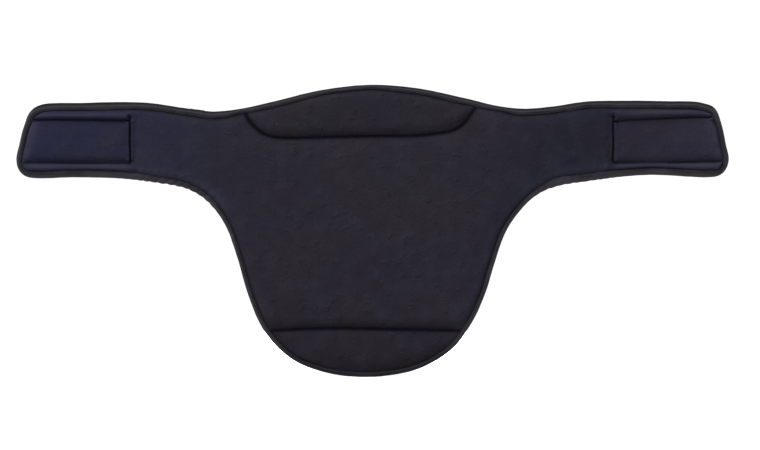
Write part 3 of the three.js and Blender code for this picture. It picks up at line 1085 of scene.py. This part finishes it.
def lining_material():
    """Smooth knit lining: navy on the arms, greyer in the middle, with a little lint, painted
    shade along its seams and binding, and painted highlights on its rolls and beside the binding.
    """
    n = Nodes("lining_knit")
    flat = n.uv()
    split = n.add("SeparateXYZ", Vector=flat)
    x = split.outputs[0]
    up = n.ramp(split.outputs[1], -0.17, 0.12)
    dye = n.mix(up, linear(27, 24, 29), linear(31, 29, 33))
    dye = n.mix(n.ramp(x, -0.12, -0.36), dye, linear(28, 29, 44))
    dye = n.mix(n.ramp(x, 0.12, 0.26), dye, linear(22, 23, 32))
    dye = n.mix(n.ramp(x, 0.28, 0.36), dye, linear(32, 30, 39))
    blue = n.ramp(n.noise(flat, 9.0), 0.45, 0.65, 0.0, 0.35)
    dye = n.mix(blue, dye, linear(22, 24, 34))
    warm = n.ramp(n.noise(n.mapped(flat, Location=(3, 1, 0)), 11.0), 0.45, 0.65, 0.0, 0.35)
    dye = n.mix(warm, dye, linear(30, 25, 32))
    cloud = n.noise(flat, 36.0, 4.0, 0.6)
    dye = n.mix(n.ramp(cloud, 0.45, 0.75, 0.0, 0.4), dye, linear(38, 37, 43))
    fibres = n.ramp(n.noise(flat, 330.0, 3.0, 0.7), 0.3, 0.7, 0.0, 0.55)
    dye = n.mix(fibres, dye, linear(18, 18, 24))
    speck = n.ramp(n.noise(flat, 620.0, 1.0), 0.73, 0.78, 0.0, 0.35)
    streak = n.mapped(flat, Scale=(90, 520, 1), Rotation=(0, 0, 0.5))
    lint = n.ramp(n.noise(streak, 1.0), 0.76, 0.8, 0.0, 0.4)
    dye = n.mix(speck, dye, linear(54, 52, 60))
    dye = n.mix(lint, dye, linear(72, 70, 76))
    painted_light_mark = n.painted_light_mark()
    # Painted highlight where the mark is below 0, and painted shade, with crushed cloth, where it
    # is above 0.
    dye = n.mix(n.ramp(painted_light_mark, -1.0, 0.0, 0.4, 0.0), dye, linear(42, 42, 52))
    dye = n.mix(n.ramp(painted_light_mark, 0.0, 1.0, 0.0, 0.95), dye, linear(3, 3, 9))
    rough = n.ramp(n.noise(flat, 40.0, 4.0), 0.3, 0.7, 0.72, 0.86)
    wales = n.wave(flat, "X", 360.0, 1.2, 3.0)
    courses = n.wave(flat, "Y", 290.0, 1.2, 3.0)
    fuzz = n.noise(flat, 900.0, 4.0, 0.65)
    knit = n.maths("ADD", n.maths("MULTIPLY", wales, courses), fuzz)
    fine = n.bump(knit, 0.35, 0.00012)
    lying = n.mapped(flat, Scale=(1, 1.6, 1))
    creases = n.noise(lying, 48.0, 4.0, 0.6)
    ridge = n.maths("ABSOLUTE", n.maths("SUBTRACT", n.noise(lying, 52.0, 3.0, 0.6), 0.5))
    sharp = n.ramp(ridge, 0.0, 0.05, 0.0, 1.0)
    here = n.ramp(n.noise(flat, 65.0, 1.0), 0.56, 0.66)
    here = n.maths("MULTIPLY", here, n.ramp(n.maths("ABSOLUTE", x), 0.13, 0.24, 1.0, 0.45))
    folds = n.maths("MULTIPLY", sharp, here)
    crumpled = n.bump(folds, 0.7, 0.0008, Normal=fine)
    n.shade(Base_Color=dye, Roughness=rough, Sheen_Weight=0.015, Sheen_Roughness=0.4,
            Specular_IOR_Level=0.02, Normal=n.bump(creases, 0.3, 0.002, Normal=crumpled))
    return n.material


def weave(n, vector, pitch, height):
    """Bump of a plain weave, and how high each point stands, at a thread pitch in metres."""
    scale = 2 * math.pi / pitch / 20
    warp = n.wave(vector, "X", scale, 0.6, 2.0)
    weft = n.wave(vector, "Y", scale, 0.6, 2.0)
    checker = n.add("TexChecker", Vector=vector, Scale=1 / pitch).outputs[1]
    over = n.add("Mix", i0=checker, i2=warp, i3=weft).outputs[0]
    return over, n.bump(over, 0.6, height)


def facing_material():
    """Tight woven nylon, near black, with a dull shine on the tops of its threads."""
    n = Nodes("facing_weave")
    flat = n.uv()
    over, normal = weave(n, flat, 0.0011, 0.0002)
    cloud = n.noise(flat, 14.0, 3.0)
    dye = n.mix(n.ramp(cloud, 0.3, 0.7), linear(17, 17, 22), linear(24, 24, 30))
    # Painted shade in the hollows of the weave, leaving the tops of the threads lighter.
    dye = n.mix(n.ramp(over, 0.0, 1.0, 0.5, 0.0), dye, linear(9, 9, 12))
    rough = n.ramp(n.noise(flat, 60.0, 3.0), 0.3, 0.7, 0.5, 0.66)
    n.shade(Base_Color=dye, Roughness=rough, Normal=normal, Sheen_Weight=0.01,
            Specular_IOR_Level=0.14)
    return n.material


def binding_material():
    """Ribbed polyester tape, a warm near black, with a painted highlight where it stands proud
    and painted shade on its top rims, at its inner edge and along the foot.
    """
    n = Nodes("binding_tape")
    flat = n.uv()
    ribs = n.wave(flat, "X", 380.0, 0.4)
    patchy = n.noise(n.mapped(flat, Scale=(30, 90, 1)), 1.0, 4.0)
    painted_light_mark = n.painted_light_mark()
    dye = n.mix(n.ramp(patchy, 0.35, 0.7), linear(24, 23, 27), linear(39, 37, 41))
    # Painted shade in the hollows between the ribs.
    dye = n.mix(n.ramp(ribs, 0.0, 1.0, 0.25, 0.0), dye, linear(12, 12, 15))
    # Painted highlight where the tape stands proud, then painted shade on the top rims and at the
    # inner edge.
    dye = n.mix(n.ramp(painted_light_mark, 0.1, 0.5, 0.7, 0.0), dye, linear(46, 44, 47))
    dye = n.mix(n.ramp(painted_light_mark, -0.9, 0.1, 1.0, 0.0), dye, linear(3, 3, 5))
    dye = n.mix(n.ramp(painted_light_mark, 0.5, 1.0, 0.0, 0.7), dye, linear(8, 8, 12))
    pucker = n.noise(n.mapped(flat, Scale=(320, 90, 1)), 1.0, 3.0)
    normal = n.bump(pucker, 0.35, 0.0007, Normal=n.bump(ribs, 0.35, 0.00012))
    n.shade(Base_Color=dye, Roughness=n.ramp(patchy, 0.3, 0.7, 0.6, 0.8), Normal=normal,
            Sheen_Weight=0.01, Sheen_Roughness=0.4, Specular_IOR_Level=0.05)
    return n.material


def hook_material():
    """Hook tape: rows of tiny stiff hooks on a woven ground."""
    n = Nodes("hook_tape")
    flat = n.uv()
    rows = n.mapped(flat, Scale=(640, 900, 1))
    cells = n.add("TexVoronoi", Vector=rows, Scale=1.0, Randomness=0.55).outputs[0]
    hooks = n.ramp(cells, 0.05, 0.5, 1.0, 0.0)
    dye = n.mix(hooks, linear(14, 14, 16), linear(52, 52, 56))
    n.shade(Base_Color=dye, Roughness=n.ramp(hooks, 0.0, 1.0, 0.75, 0.38),
            Normal=n.bump(hooks, 0.9, 0.0007), Specular_IOR_Level=0.25)
    return n.material


def thread_material(name, dark, light):
    """Bonded sewing thread, mottled between two colours by its twist."""
    n = Nodes(name)
    twist = n.noise(n.mapped(n.uv(), Scale=(1900, 1900, 1)), 1.0)
    n.shade(Base_Color=n.mix(twist, dark, light), Roughness=n.ramp(twist, 0.3, 0.7, 0.5, 0.7),
            Normal=n.bump(twist, 0.4, 0.0001), Specular_IOR_Level=0.1)
    return n.material


# ---- stage

# Metres.
FLOOR_HALF = 1.2
SHOWN_WIDTH = 0.988
LOOKS_AT = (0.0104, 0.0091)


def add_stage():
    """A pale floor under the foot of the bib, white surroundings and two soft lights."""
    level = cad_box[0].z - 0.0005
    corners = [(x * FLOOR_HALF, y * FLOOR_HALF, level)
               for x, y in ((-1, -1), (1, -1), (1, 1), (-1, 1))]
    mesh = bpy.data.meshes.new("floor")
    mesh.from_pydata(corners, [], [(0, 1, 2, 3)])
    plain = Nodes("floor_white")
    plain.shade(Base_Color=(0.75, 0.75, 0.75, 1.0), Roughness=0.9)
    mesh.materials.append(plain.material)
    linked("floor", mesh)
    world = bpy.data.worlds.new("studio")
    world.use_nodes = True
    background = world.node_tree.nodes["Background"]
    background.inputs["Color"].default_value = (1, 1, 1, 1)
    background.inputs["Strength"].default_value = 1.04
    bpy.context.scene.world = world
    view = bpy.context.scene.view_settings
    view.view_transform = "Standard"
    view.gamma = 0.8
    add_light("key", (-0.36, -0.5, 0.79), 32, 12.5)
    add_light("back_fill", (0.3, 0.7, 0.7), 60, 3.0)


def add_light(name, towards, spread, strength):
    """A wide, soft light, far away in the direction given."""
    light = bpy.data.lights.new(name, "SUN")
    light.angle = math.radians(spread)
    light.energy = strength
    linked(name, light).rotation_euler = Vector(towards).to_track_quat("Z", "Y").to_euler()


def add_camera():
    """Straight on to the lining, from far enough away to flatten it."""
    data = bpy.data.cameras.new("camera")
    data.lens = 100
    data.sensor_width = 36
    distance = SHOWN_WIDTH * data.lens / data.sensor_width
    made = linked("camera", data)
    made.location = (LOOKS_AT[0], -distance, LOOKS_AT[1])
    made.rotation_euler = (math.pi / 2, 0, 0)
    bpy.context.scene.camera = made


# ---- all together

add_camera()
add_stage()

lining = pad_mesh(LINING_RINGS, LINING_ROWS, 1.07, 3.2)
puff = puff_heights(lining[0])
add_face("lining", -1, lining, front_half(lining[0], puff), lining_material())

facing = pad_mesh(FACING_RINGS, FACING_ROWS, 2.4, 5.0)
add_face("facing", 1, facing, back_half(facing[0]), facing_material())

tape_thread = thread_material("binding_thread", linear(24, 24, 28), linear(44, 44, 50))
add_binding(binding_material(), tape_thread)

hooks = hook_material()
for name in SEAMS:
    add_patch(name, hooks)
add_seams(thread_material("seam_thread", linear(5, 5, 9), linear(13, 13, 19)))
